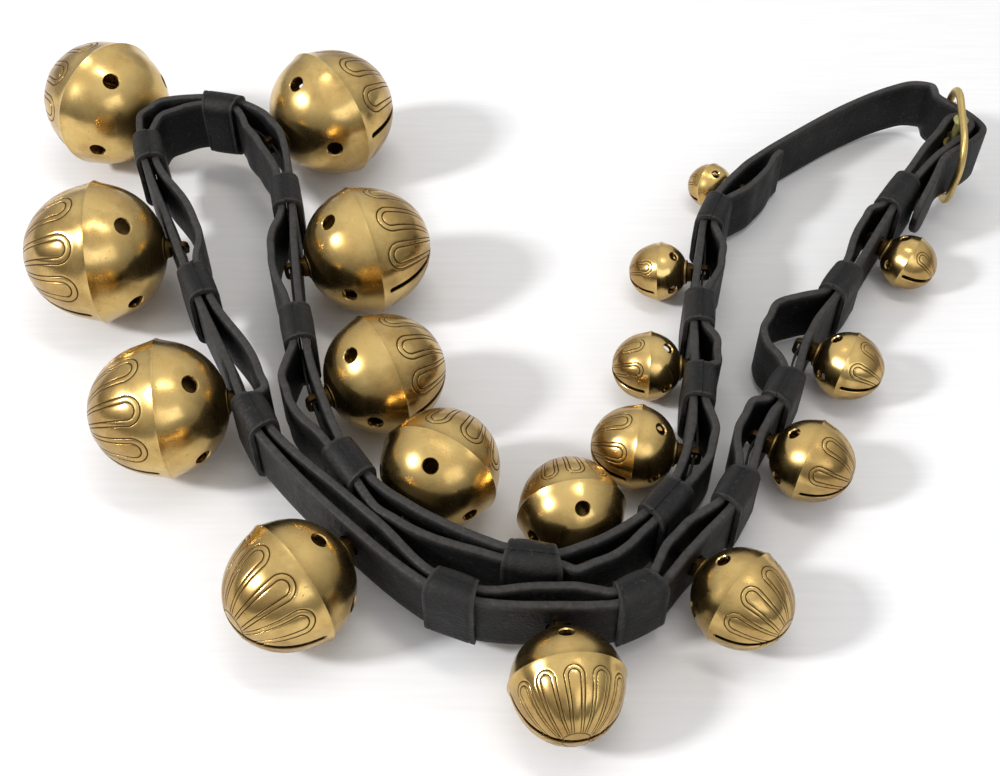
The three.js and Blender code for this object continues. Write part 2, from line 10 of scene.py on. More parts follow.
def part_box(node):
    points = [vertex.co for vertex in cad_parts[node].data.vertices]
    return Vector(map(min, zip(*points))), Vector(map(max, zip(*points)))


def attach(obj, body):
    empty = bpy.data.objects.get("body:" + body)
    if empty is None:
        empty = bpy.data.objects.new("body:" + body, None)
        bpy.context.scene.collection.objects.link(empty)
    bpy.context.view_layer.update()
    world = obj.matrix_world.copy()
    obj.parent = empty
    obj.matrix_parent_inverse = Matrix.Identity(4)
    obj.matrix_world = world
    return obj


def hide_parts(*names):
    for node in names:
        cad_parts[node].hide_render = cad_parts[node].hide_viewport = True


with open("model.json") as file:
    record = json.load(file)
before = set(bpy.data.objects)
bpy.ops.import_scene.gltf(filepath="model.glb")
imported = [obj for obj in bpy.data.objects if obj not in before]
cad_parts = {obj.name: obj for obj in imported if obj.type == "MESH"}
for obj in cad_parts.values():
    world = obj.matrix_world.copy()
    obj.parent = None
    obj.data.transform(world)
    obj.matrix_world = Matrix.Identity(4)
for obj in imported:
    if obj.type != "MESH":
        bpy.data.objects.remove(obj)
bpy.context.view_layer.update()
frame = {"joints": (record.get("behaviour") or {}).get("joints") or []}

# Sizes in millimetres, the solids' own unless a comment says otherwise; pieces end up in metres
MM = 0.001
TO_METRES = Matrix.Scale(MM, 4)
UP = Vector((0, 0, 1))
CLEARANCE = 0.35
STRAP_WIDTH = 32
LEATHER = 4
LACE_WIDTH = 3.4
LACE_THICKNESS = 1.2
LINER_TAIL = 33
LACE_TAIL = 24
FLAT_REACH = 8
KEEPER_LENGTH = 22
KEEPER_WALL = 2.8
DIAMETERS = [31, 36.5, 41.5, 47, 51, 60.5, 68.5, 75.5, 74.5, 75, 69.5, 62.5, 59, 51, 42.5, 36.5, 32.5, 26.5]
TURNS = [-10, -5, 5, 2, -2, -8, -19, -22, -14, -3, 2, 4, 9, 6, 0, 0, -6, -10]
LEANS = [0, 0, 0, -2, 5, -6, -13, -18, 0, 8, 14, 10, 9, -17, 4, 0, 0, 0]
BELL_WALL = 2
RIDGE_SHIFT = 0.09
FRONT_BOWL = 1.05
SHANK_BOWL = 0.9
BOWL_ROUND = 0.95
RIDGE_LIFT = 0.05
RIDGE_REACH = 0.1
HOLE_LATITUDE = 36
# Sound holes as wide as they show, a quarter wider than the solids'
HOLE_BASE = 1.9
HOLE_SHARE = 0.092
SLOT_BASE = 1.2
SLOT_SHARE = 0.03
SLOT_REACH = 0.93
PEA_BASE = 4
PEA_SHARE = 0.2
SHANK_WIDTH = 10
SHANK_THICKNESS = 3.2
SHANK_NECK = 3
SHANK_END = 1.9
EYE_HEIGHT = 6.4
EYE_DEPTH = 3
LINER_ROOM = [6, 18, 7, 5.6, 5.6, 5.6, 8, 9, 8, 10, 8, 11, 5.8, 6, 7, 7, 8, 8]
KEEPER_POINTS = [
    (223, 108), (182, 44), (142, -30), (111, -92), (61, -149), (-21, -150), (-118, -57), (-156, 26),
    (-199, 130), (-160, 175), (-113, 96), (-98, 2), (-67, -80), (14, -129), (73, -97), (95, -25),
    (100, 26), (115, 101)]
BELL_POINTS = [
    (209, 88), (158, 10), (127, -51), (86, -122), (25, -154), (-66, -116), (-126, -36), (-173, 66),
    (-203, 168), (-129, 154), (-107, 53), (-88, -34), (-42, -104), (37, -124), (90, -60), (98, -3),
    (107, 66), (136, 133)]
BILLET_POINTS = [(152, 150), (177, 171), (205, 192), (232, 206), (250, 207), (259, 197)]
BILLET_HEIGHTS = [18, 17, 17, 19, 24, 29]
BILLET_TIP = [(240, 113), (230, 99)]
BILLET_TIP_HEIGHTS = [29, 26]
BUCKLE_POINT = (261, 155)
BUCKLE_HEIGHT = 34
BUCKLE_HEADING = math.radians(84)
BUCKLE_PITCH = math.radians(10)
BUCKLE_LENGTH = 63
BUCKLE_WIDTH = 54
BUCKLE_CORNER = 20
BUCKLE_STOCK = 5.5
BAR_DIAMETER = 5
CHAPE_HEADING = math.radians(50)
CHAPE_TAIL = 3
CHAPE_DRAW = 3.8
BILLET_GAP = 0.7
BILLET_BULGE = 1.5
BILLET_INSET = 5
TONGUE_WIDTH = 4.5
TONGUE_WALL = 2.2
TONGUE_ROOM = 2
# How far the strap drops: at the first keeper, and below the bar's height before the buckle and after it
FIRST_KEEPER_DROP = 3
CHAPE_DROP = 3
BILLET_DROP = 2

JOINTS = {joint["name"]: joint for joint in frame["joints"]}


# Route of the strap
class Bell:
    """A bell's sizes, and its place as its joint has it."""
    def __init__(self, i):
        joint = JOINTS[f"bell_{i + 1:02d}_swivel"]
        self.number = f"{i + 1:02d}"
        self.radius = DIAMETERS[i] / 2
        self.shank_pole = self.radius * (RIDGE_SHIFT + SHANK_BOWL)
        self.lever = self.shank_pole + SHANK_NECK + LEATHER / 2
        self.rest_height = max(self.radius, STRAP_WIDTH / 2 + CLEARANCE + KEEPER_WALL)
        self.centre = Vector(joint["pos_m"]) / MM
        self.axis = Vector(joint["axis"]).normalized()
        self.droop = -math.asin(self.axis.z)
        self.lean = math.radians(LEANS[i])
        high = (UP - self.axis * self.axis.z).normalized()
        side = self.axis.cross(high)
        frame_axes = Matrix((high, side, self.axis)).transposed().to_4x4()
        self.place = Matrix.Translation(self.centre) @ frame_axes
        self.turned = self.place @ Matrix.Rotation(math.radians(TURNS[i]), 4, "Z")


bells = [Bell(i) for i in range(len(DIAMETERS))]


def heading_vector(angle):
    return Vector((math.cos(angle), math.sin(angle), 0))


frame_along = heading_vector(BUCKLE_HEADING)
frame_inward = heading_vector(BUCKLE_HEADING + math.pi / 2)
chape_along = heading_vector(CHAPE_HEADING)
chape_inward = heading_vector(CHAPE_HEADING + math.pi / 2)
chape_turn = BUCKLE_HEADING - CHAPE_HEADING
layer_gap = LACE_THICKNESS + 2 * CLEARANCE
tail_offset = LEATHER + layer_gap
bar_lean = math.tan(BUCKLE_PITCH) * (STRAP_WIDTH + BAR_DIAMETER) / 2
fold_slack = bar_lean * math.cos(chape_turn)
fold_radius = BAR_DIAMETER / 2 + CLEARANCE + LEATHER / 2 + bar_lean * math.sin(chape_turn)
billet_reach = (BUCKLE_LENGTH - BUCKLE_STOCK) / 2 * math.cos(BUCKLE_PITCH)


def plan_point(point, height):
    return Vector((*point, height))


def frame_point(along, inward, height):
    return plan_point(BUCKLE_POINT, height) + frame_along * along + frame_inward * inward


def chape_point(along, inward, height):
    return plan_point(BUCKLE_POINT, height) + chape_along * along + chape_inward * inward


def keeper_height(i):
    if i == 0:
        return (bells[0].rest_height + BUCKLE_HEIGHT) / 2 - FIRST_KEEPER_DROP
    return (bells[i - 1].rest_height + bells[i].rest_height) / 2


def strap_route():
    """Points along the middle of the strap, from the buckle's bar to the billet's tip."""
    points = [
        chape_point(fold_slack, -fold_radius, BUCKLE_HEIGHT),
        chape_point(-fold_slack - fold_radius, -fold_radius, BUCKLE_HEIGHT),
        chape_point(-billet_reach, CHAPE_DRAW - fold_radius, BUCKLE_HEIGHT - CHAPE_DROP)]
    for i, (keeper, bell) in enumerate(zip(KEEPER_POINTS, BELL_POINTS)):
        points.append(plan_point(keeper, keeper_height(i)))
        points.append(plan_point(bell, bells[i].rest_height))
    points += [plan_point(p, h) for p, h in zip(BILLET_POINTS, BILLET_HEIGHTS)]
    inside = (BUCKLE_STOCK + LEATHER) / 2 + CLEARANCE
    near_inside = (inside + 4 * CLEARANCE + bar_lean * math.sin(chape_turn)) / math.cos(chape_turn)
    outside = fold_radius + LEATHER + BILLET_GAP + BILLET_BULGE
    points += [
        frame_point(billet_reach, inside + BILLET_INSET, BUCKLE_HEIGHT),
        chape_point(fold_slack + LEATHER, -outside, BUCKLE_HEIGHT),
        frame_point(-billet_reach, near_inside, BUCKLE_HEIGHT - BILLET_DROP)]
    return points + [plan_point(p, h) for p, h in zip(BILLET_TIP, BILLET_TIP_HEIGHTS)]


ROUTE_SAMPLES = 40
FIRST_MAIN = 3
# Half the run over which the strap's heading is taken
HEADING_REACH = 1.5


def smooth_through(points):
    """Centripetal curve through the points, as a list of close samples."""
    ends = [2 * points[0] - points[1], *points, 2 * points[-1] - points[-2]]
    samples = []
    for a, b, c, d in zip(ends, ends[1:], ends[2:], ends[3:]):
        first, middle, last = ((q - p).length ** 0.5 for p, q in ((a, b), (b, c), (c, d)))
        leave = ((b - a) / first - (c - a) / (first + middle) + (c - b) / middle) * middle
        arrive = ((c - b) / middle - (d - b) / (middle + last) + (d - c) / last) * middle
        for step in range(ROUTE_SAMPLES):
            t = step / ROUTE_SAMPLES
            samples.append(b * (2 * t ** 3 - 3 * t ** 2 + 1) + leave * (t ** 3 - 2 * t ** 2 + t)
                           + c * (3 * t ** 2 - 2 * t ** 3) + arrive * (t ** 3 - t ** 2))
    samples.append(points[-1])
    return samples


def stations_from(first, count):
    """Stations of every second point of the route."""
    return [float(route_lengths[(first + 2 * i) * ROUTE_SAMPLES]) for i in range(count)]


route_samples = np.array([tuple(point) for point in smooth_through(strap_route())])
steps = np.linalg.norm(np.diff(route_samples, axis=0), axis=1)
route_lengths = np.concatenate([[0], np.cumsum(steps)])
strap_length = float(route_lengths[-1])
keeper_stations = stations_from(FIRST_MAIN, len(KEEPER_POINTS))
bell_stations = stations_from(FIRST_MAIN + 1, len(BELL_POINTS))


def place_at(station):
    """Middle of the strap at a station, and the level direction out to the bells."""
    def at(s):
        return Vector([float(np.interp(s, route_lengths, route_samples[:, axis])) for axis in range(3)])
    run = at(min(station + HEADING_REACH, strap_length)) - at(max(station - HEADING_REACH, 0))
    outward = Vector((-run.y, run.x, 0)).normalized()
    return at(station), outward


# From the route's frame to the part's, by the bell that hangs at the front of the loop
FRONT_BELL = 4
front_bell = bells[FRONT_BELL]
hold_before = place_at(bell_stations[FRONT_BELL] - FLAT_REACH)[0]
hold_after = place_at(bell_stations[FRONT_BELL] + FLAT_REACH)[0]
SHIFT = front_bell.centre - front_bell.axis * front_bell.lever - (hold_before + hold_after) / 2


# Meshes and pieces
def in_scene(name, data):
    made = bpy.data.objects.new(name, data)
    bpy.context.scene.collection.objects.link(made)
    return made


def grid(rows, columns):
    bm = bmesh.new()
    bmesh.ops.create_grid(bm, x_segments=rows, y_segments=columns, size=1)
    return bm


def block(size, height):
    """A box with its middle on the axis."""
    bm = bmesh.new()
    bmesh.ops.create_cube(bm, size=1)
    bmesh.ops.scale(bm, vec=size, verts=bm.verts)
    bmesh.ops.translate(bm, vec=(0, 0, height), verts=bm.verts)
    return bm


def edges_across(bm):
    """A block's edges along Y."""
    return [e for e in bm.edges if abs(e.verts[0].co.y - e.verts[1].co.y) > 1]


def weld(bm, gap):
    """Merge points that are closer than a gap, and turn the faces outwards."""
    bmesh.ops.remove_doubles(bm, verts=bm.verts, dist=gap)
    bmesh.ops.recalc_face_normals(bm, faces=bm.faces)


def rounded(bm, edges, width, segments):
    bmesh.ops.bevel(bm, geom=edges, offset=width, segments=segments, profile=0.5, affect="EDGES", material=-1)


def mesh_from(bm, name):
    mesh = bpy.data.meshes.new(name)
    bm.to_mesh(mesh)
    bm.free()
    return mesh


def placed(bm, place, name):
    bmesh.ops.transform(bm, matrix=place, verts=bm.verts)
    return mesh_from(bm, name)


def with_modifiers(mesh, *modifiers):
    """The mesh that a stack of modifiers makes of this one."""
    worker = in_scene("worker", mesh)
    for kind, settings in modifiers:
        modifier = worker.modifiers.new(kind.lower(), kind)
        for name, value in settings.items():
            setattr(modifier, name, value)
    graph = bpy.context.evaluated_depsgraph_get()
    result = bpy.data.meshes.new_from_object(worker.evaluated_get(graph))
    bpy.data.objects.remove(worker)
    return result


def thickened(sheet, thickness, offset, edge, clamped):
    """A sheet given its thickness, its edges rounded."""
    return with_modifiers(
        sheet,
        ("SOLIDIFY", {"thickness": thickness * MM, "offset": offset, "use_even_offset": True}),
        ("BEVEL", {"width": edge * MM, "segments": 3, "limit_method": "ANGLE",
                   "angle_limit": math.radians(60), "use_clamp_overlap": clamped}))


def cut(mesh, cutters, operation="DIFFERENCE"):
    """The mesh less, or joined with, each cutter mesh in turn."""
    tools = [in_scene("cutter", cutter) for cutter in cutters]
    result = with_modifiers(mesh, *(
        ("BOOLEAN", {"object": tool, "operation": operation, "solver": "MANIFOLD"}) for tool in tools))
    for tool in tools:
        bpy.data.objects.remove(tool)
    return result


def add_piece(name, mesh, body, material, sharp):
    """A piece in place of the solid of the same name, smooth but for edges sharper than an angle."""
    mesh.shade_smooth()
    mesh.set_sharp_from_angle(angle=math.radians(sharp))
    mesh.materials.clear()
    mesh.materials.append(material)
    piece = in_scene(name, mesh)
    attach(piece, body)
    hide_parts(name)


def write_attribute(mesh, name, values):
    attribute = mesh.attributes.new(name, "FLOAT", "POINT")
    attribute.data.foreach_set("value", np.asarray(values, dtype=np.float32))


def coordinates(mesh):
    flat = np.empty(len(mesh.vertices) * 3, dtype=np.float32)
    mesh.vertices.foreach_get("co", flat)
    return flat.reshape(-1, 3).astype(np.float64)


def in_part_frame(point):
    """A point of the route's frame, in millimetres, as the part's frame has it, in metres."""
    return (point + SHIFT) * MM


# Materials
# Petals, in half widths: the two nested loops, and how soon the lines are full after the petals start
PETAL_LOOPS = (1, 0.58)
PETAL_FADE = 0.3


def linear(code):
    """Linear colour of an sRGB hex value."""
    parts = [int(code[i:i + 2], 16) / 255 for i in (1, 3, 5)]
    return (*[c / 12.92 if c <= 0.04045 else ((c + 0.055) / 1.055) ** 2.4 for c in parts], 1)


def feed(tree, node, sockets):
    """Set a node's inputs, or link them."""
    for socket, value in sockets.items():
        if isinstance(value, bpy.types.NodeSocket):
            tree.links.new(value, node.inputs[socket])
        else:
            node.inputs[socket].default_value = value


def add_node(tree, kind, sockets=None, **settings):
    """A node with its settings, its values and its links."""
    made = tree.nodes.new(kind)
    for name, value in settings.items():
        setattr(made, name, value)
    feed(tree, made, sockets or {})
    return made


def new_material(name):
    """A material with its tree, its shader and the place on the piece."""
    material = bpy.data.materials.new(name)
    material.use_nodes = True
    tree = material.node_tree
    where = add_node(tree, "ShaderNodeTexCoord").outputs["Object"]
    return material, tree, tree.nodes["Principled BSDF"], where


def maths(tree, operation, *values):
    return add_node(tree, "ShaderNodeMath", dict(enumerate(values)), operation=operation).outputs[0]


def ranged(tree, value, start, end, low=0, high=1, kind="LINEAR"):
    """A value's way from start to end, spread from low to high."""
    sockets = {"Value": value, "From Min": start, "From Max": end, "To Min": low, "To Max": high}
    return add_node(tree, "ShaderNodeMapRange", sockets, interpolation_type=kind).outputs[0]


def blended(tree, share, first, second):
    """A colour part of the way from one colour to another."""
    return add_node(tree, "ShaderNodeMix", {0: share, 6: first, 7: second}, data_type="RGBA").outputs[2]


def clouded(tree, where, scale, detail, roughness=0.5):
    sockets = {"Vector": where, "Scale": scale, "Detail": detail, "Roughness": roughness}
    return add_node(tree, "ShaderNodeTexNoise", sockets).outputs["Fac"]


def embossed(tree, shader, height, strength, distance):
    """The shader's normal, bent by a height."""
    bump = add_node(tree, "ShaderNodeBump", {"Height": height, "Strength": strength, "Distance": distance})
    feed(tree, shader, {"Normal": bump.outputs[0]})


def painted_attribute(tree, name):
    return add_node(tree, "ShaderNodeAttribute", attribute_name=name).outputs["Fac"]


def harness_leather():
    """Black-dyed, waxed harness leather: close grain, satin faces, grey where the edges have rubbed."""
    material, tree, shader, where = new_material("harness_leather")
    worn = painted_attribute(tree, "wear")
    # Pores about 1.4 mm apart, coarser than life so that they show
    grain = add_node(tree, "ShaderNodeTexVoronoi", {"Vector": where, "Scale": 700, "Randomness": 1},
                     feature="SMOOTH_F1")
    # Handling marks about 15 mm across, and short scuffs about 3 mm across
    marks = clouded(tree, where, 65, 6, 0.6)
    scuffs = clouded(tree, where, 330, 4, 0.7)
    face = blended(tree, marks, linear("#0C0C0D"), linear("#1B1A1A"))
    rubbed = maths(tree, "MULTIPLY", worn, maths(tree, "MULTIPLY", scuffs, 0.9))
    rubbed = maths(tree, "MAXIMUM", rubbed, ranged(tree, scuffs, 0.58, 0.74, 0, 0.45))
    embossed(tree, shader, maths(tree, "ADD", grain.outputs["Distance"], marks), 0.6, 0.0005)
    # Open pores break up the shine, so it is half that of a smooth coat
    feed(tree, shader, {
        "Base Color": blended(tree, rubbed, face, linear("#4E4C4A")),
        "Roughness": ranged(tree, marks, 0.3, 0.7, 0.45, 0.65), "IOR": 1.4, "Specular IOR Level": 0.25})
    return material


def petal_lines(tree, arc):
    """1 in the engraved lines, 0 off them: a petal's two nested loops, and the ring where petals start."""
    engraving = add_node(tree, "ShaderNodeUVMap", uv_map="petals").outputs["UV"]
    split = add_node(tree, "ShaderNodeSeparateXYZ", {0: engraving})
    above = maths(tree, "MAXIMUM", split.outputs["Y"], 0)
    flat = add_node(tree, "ShaderNodeCombineXYZ", {0: split.outputs["X"], 1: above})
    reach = add_node(tree, "ShaderNodeVectorMath", {0: flat.outputs[0]}, operation="LENGTH").outputs["Value"]
    lines = []
    for at in PETAL_LOOPS:
        gap = maths(tree, "ABSOLUTE", maths(tree, "SUBTRACT", reach, at))
        lines.append(ranged(tree, gap, 0.02, 0.075, 1, 0, "SMOOTHSTEP"))
    petals = maths(tree, "MULTIPLY", maths(tree, "MAXIMUM", *lines), ranged(tree, arc, 0, PETAL_FADE))
    ring = ranged(tree, maths(tree, "ABSOLUTE", arc), 0.03, 0.1, 0.8, 0, "SMOOTHSTEP")
    return maths(tree, "MAXIMUM", petals, ring)


def bell_brass():
    """Cast bell brass, turned and polished, then tarnished: bright on the bowls, brown round the engraving,
    with painted shade darkening the engraved bowl and the shank."""
    material, tree, shader, where = new_material("bell_brass")
    meridian = painted_attribute(tree, "meridian")
    groove = petal_lines(tree, painted_attribute(tree, "arc"))
    # Tarnish in clouds about 15 mm across, and specks about 1.5 mm across
    clouds = clouded(tree, where, 70, 5, 0.55)
    specks = clouded(tree, where, 650, 3, 0.6)
    warm = blended(tree, clouds, linear("#E0C582"), linear("#B89252"))
    # Painted shade: the shank, its neck and lug, sunk between the strap's layers, are painted dark brown
    back = ranged(tree, meridian, -0.82, -1.02, 0, 0.97)
    dirt = ranged(tree, specks, 0.62, 0.75, 0, 0.35)
    # Dark brown for the real dirt specks, and as painted shade on the shank
    dirt_and_painted_shade = maths(tree, "MAXIMUM", back, dirt)
    # Brown patches about 30 mm across, where handling has not kept the bell bright
    patches = clouded(tree, where, 33, 5, 0.65)
    # A brown film over the engraved bowl, more towards its pole: partly tarnish where a cloth doesn't reach
    # between the lines, partly painted shade for the darker reflection the bowl shows
    film_and_painted_shade = ranged(tree, meridian, 0, 0.6, 0, 0.19)
    brown = ranged(tree, maths(tree, "ADD", patches, film_and_painted_shade), 0.48, 0.72, 0, 0.65)
    # Brown from the patches and from the film with its painted shade; then the dirt and the shank's painted
    # shade
    dulled_and_shaded = blended(tree, brown, warm, linear("#8A6A3E"))
    aged_and_shaded = blended(tree, dirt_and_painted_shade, dulled_and_shaded, linear("#3F2E17"))
    polish = ranged(tree, clouds, 0.3, 0.7, 0.16, 0.3)
    spoiled = maths(tree, "MULTIPLY", maths(tree, "MAXIMUM", groove, dirt_and_painted_shade), 0.35)
    # The hand-turned skin waves a little about every 25 mm
    waves = maths(tree, "MULTIPLY", clouded(tree, where, 40, 1), 4)
    embossed(tree, shader, maths(tree, "SUBTRACT", waves, groove), 0.8, 0.0003)
    feed(tree, shader, {"Base Color": blended(tree, groove, aged_and_shaded, linear("#4A3519")), "Metallic": 1,
                        "Roughness": maths(tree, "ADD", polish, spoiled)})
    return material


def buckle_brass():
    """Pale sand-cast brass, with green patina in the corners by the bar."""
    material, tree, shader, where = new_material("buckle_brass")
    hollow = painted_attribute(tree, "patina")
    # Casting skin about 2 mm across
    skin = clouded(tree, where, 420, 5, 0.6)
    pale = blended(tree, skin, linear("#B79A58"), linear("#D3BC80"))
    green = ranged(tree, maths(tree, "MULTIPLY", hollow, skin), 0.15, 0.5)
    feed(tree, shader, {"Base Color": blended(tree, green, pale, linear("#8A8A55")),
                        "Metallic": ranged(tree, green, 0, 1, 1, 0.25),
                        "Roughness": ranged(tree, skin, 0, 1, 0.28, 0.52)})
    embossed(tree, shader, skin, 0.3, 0.0003)
    return material


def cast_iron():
    """Rough cast iron of the loose balls, with a little brown rust."""
    material, tree, shader, where = new_material("cast_iron")
    # Pits and rust about 2 mm across
    pits = clouded(tree, where, 480, 5, 0.65)
    rust = blended(tree, pits, linear("#2E2A28"), linear("#5A4334"))
    feed(tree, shader, {"Base Color": rust, "Metallic": 0.6, "Roughness": 0.7})
    embossed(tree, shader, pits, 0.6, 0.0004)
    return material


leather = harness_leather()
brass = bell_brass()
frame_brass = buckle_brass()
iron = cast_iron()


# Leather strips
def bow_at(station):
    """The bell whose bow a station is in, and how far the liner has opened there, from 0 to 1."""
    i = 0
    while i + 1 < len(keeper_stations) and station > keeper_stations[i + 1]:
        i += 1
    start = keeper_stations[i] + KEEPER_LENGTH / 2
    bell = bell_stations[i]
    last = i + 1 == len(keeper_stations)
    end = bell + LINER_TAIL if last else keeper_stations[i + 1] - KEEPER_LENGTH / 2
    reach = bell - start if station < bell else end - bell
    share = 1 - (abs(station - bell) - FLAT_REACH) / (reach - FLAT_REACH)
    return i, math.sin(math.pi / 2 * min(max(share, 0), 1)) ** 2


eye_offset = LEATHER / 2 + EYE_DEPTH / 2 + CLEARANCE / 3
straight_spans = [(k, KEEPER_LENGTH / 2) for k in keeper_stations] + [(b, FLAT_REACH) for b in bell_stations]


def straightened(station):
    """Place on the strap, straight inside each keeper and along the flat that each bell sits on."""
    for middle, reach in straight_spans:
        if abs(station - middle) < reach:
            first, first_out = place_at(middle - reach)
            last, last_out = place_at(middle + reach)
            share = (station - middle + reach) / (2 * reach)
            return first.lerp(last, share), first_out.lerp(last_out, share).normalized()
    return place_at(station)


def liner_middle(station):
    middle, outward = straightened(station)
    bell, rise = bow_at(station)
    return middle - outward * (LEATHER + layer_gap + (LINER_ROOM[bell] - layer_gap) * rise)


def lace_middle(station):
    middle, outward = straightened(station)
    bell, rise = bow_at(station)
    rest = LEATHER / 2 + layer_gap / 2
    droop, lean = bells[bell].droop, bells[bell].lean
    shift = rest + (eye_offset * math.cos(droop) * math.cos(lean) - rest) * rise
    return middle - outward * shift + UP * eye_offset * math.sin(droop) * rise


def spaced(start, end, step):
    count = max(1, math.ceil((end - start) / step))
    return [start + (end - start) * i / count for i in range(count + 1)]


# A strip's line: the most and the least between its marks, how far each leads on, and samples between two
MARK_STEP = 12
MARK_GAP = 2
LEAD_ON = 3
LINE_SAMPLES = 5


def eased_line(middle_at, start, end):
    """A smooth line along a strip, through its places in each keeper, on each bell's flat and between."""
    marks = [start, end]
    marks += [middle + reach * share for middle, reach in straight_spans for share in (-1, 0, 1)]
    marks = sorted(mark for mark in marks if start <= mark <= end)
    marks = [mark for mark, before in zip(marks, [start - 2 * MARK_GAP, *marks]) if mark - before > MARK_GAP]
    marks = [mark for a, b in zip(marks, marks[1:]) for mark in spaced(a, b, MARK_STEP)[:-1]] + [end]
    points = [middle_at(start)]
    for mark in marks[1:]:
        point = middle_at(mark)
        # Inside a tight bend the line would double back, so only places that lead on are kept
        if (point - points[-1]).dot(straightened(mark)[1].cross(UP)) > LEAD_ON:
            points.append(point)
    return smooth_through(points)[::ROUTE_SAMPLES // LINE_SAMPLES]


STRIP_COLUMNS = 8
# An edge's unevenness, and how many times it repeats in a millimetre
EDGE_WAVE = 0.35
WAVES_PER_MM = 0.035
# The rounding of a strip's edges, at most and as a share of its thickness
EDGE_ROUND = 1.1
EDGE_ROUND_SHARE = 0.3
TIP_LENGTH = 14
TIP_LEAST = 0.03
# Rubbed part of the half width, counted back from the edge; the lower edge is rubbed less
RUB_STEEPNESS = 4
LOWER_RUB = 0.6
TAIL_STEP = 2.5
FOLD_STEPS = 16
LEATHER_CREASE = 50


def leather_strip(middles, width, thickness, wave, seed, tip=0):
    """A strip of leather on edge along a line of points: a grid moved onto the line and thickened, with
    slightly uneven edges."""
    rows = len(middles) - 1
    bm = grid(rows, STRIP_COLUMNS)
    wear = bm.verts.layers.float.new("wear")
    for vert in bm.verts:
        row = round((vert.co.x + 1) / 2 * rows)
        high = vert.co.y
        half = width / 2
        if tip:
            away = (rows - row) * (middles[-1] - middles[-2]).length
            if away < tip:
                half *= math.sqrt(max(TIP_LEAST, 1 - (1 - away / tip) ** 2))
        middle = middles[row]
        spot = Vector((middle.x * WAVES_PER_MM, middle.y * WAVES_PER_MM, seed + high))
        uneven = noise.noise(spot) * wave
        vert.co = in_part_frame(middle + UP * (high * half + uneven * abs(high)))
        vert[wear] = max(0, 1 - RUB_STEEPNESS * (1 - abs(high))) * (1 if high > 0 else LOWER_RUB)
    bmesh.ops.recalc_face_normals(bm, faces=bm.faces)
    edge = min(EDGE_ROUND, thickness * EDGE_ROUND_SHARE)
    return thickened(mesh_from(bm, "strip"), thickness, 0, edge, False)


main_start = keeper_stations[0] - KEEPER_LENGTH / 2
liner_end = bell_stations[-1] + LINER_TAIL


def tail_middle(station):
    """The folded tail, beside the run on its inner side."""
    middle, outward = straightened(station)
    share = min(max(station / main_start, 0), 1)
    share = share * share * (3 - 2 * share)
    return middle - outward * (2 * fold_radius * (1 - share) + tail_offset * share)


def fold_middles():
    centre = chape_point(fold_slack, 0, BUCKLE_HEIGHT)
    turns = [math.pi * i / FOLD_STEPS for i in range(1, FOLD_STEPS)]
    return [centre + (chape_inward * math.cos(t) + chape_along * math.sin(t)) * fold_radius for t in turns]


def strap_holes():
    """Cutters for the strap: a round hole for each shank."""
    radius = math.hypot(SHANK_WIDTH, SHANK_THICKNESS) / 2 + CLEARANCE
    tools = []
    for bell in bells:
        bm = bmesh.new()
        bmesh.ops.create_cone(bm, cap_ends=True, segments=24, radius1=radius, radius2=radius,
                              depth=4 * LEATHER)
        at = bell.place @ Matrix.Translation((0, 0, -bell.lever))
        tools.append(placed(bm, TO_METRES @ at, "shank_hole"))
    return tools


def add_leather(name, mesh):
    add_piece(name, mesh, "strap", leather, LEATHER_CREASE)


def add_straps():
    tail = [tail_middle(s) for s in reversed(spaced(0, keeper_stations[0] - CHAPE_TAIL, TAIL_STEP))]
    run = eased_line(lambda s: straightened(s)[0], 0, strap_length)
    outer = leather_strip([*tail, *fold_middles(), *run], STRAP_WIDTH, LEATHER, EDGE_WAVE, 3.1, TIP_LENGTH)
    outer = cut(outer, strap_holes() + tongue_room())
    add_leather("outer_strap", outer)
    strip_start = keeper_stations[0] + CHAPE_TAIL
    liner_line = eased_line(liner_middle, strip_start, liner_end)
    liner = leather_strip(liner_line, STRAP_WIDTH, LEATHER, EDGE_WAVE, 7.7)
    add_leather("liner_strap", liner)
    lace_line = eased_line(lace_middle, strip_start, bell_stations[-1] + LACE_TAIL)
    lace = leather_strip(lace_line, LACE_WIDTH, LACE_THICKNESS, 0, 1.3)
    add_leather("shank_lace", lace)


# Keepers
# Points round a keeper, along each side and round each corner
SIDE_POINTS = 12
CORNER_POINTS = 8
KEEPER_CORNER = 6.2
# How far the skin stays inside the solids, so that swells and laps have room
KEEPER_LIP = 0.2
KEEPER_SWELL = 0.35
KEEPER_UNEVEN = 0.25
KEEPER_EDGE = 0.7
# Rows along a keeper, as shares of its length, and those that are creased
KEEPER_ROWS = [0, 0.03, 0.07, 0.1, 0.13, 0.2, 0.35, 0.5, 0.65, 0.8, 0.87, 0.9, 0.93, 0.97, 1]
CREASED_ROWS = (3, 11)
CREASE_DEPTH = 0.28
# Rubbing at the corners, how fast it fades from the ends, and its share on the lower half
CORNER_RUB = 0.45
END_RUB_STEEPNESS = 12
KEEPER_LOWER_RUB = 0.5


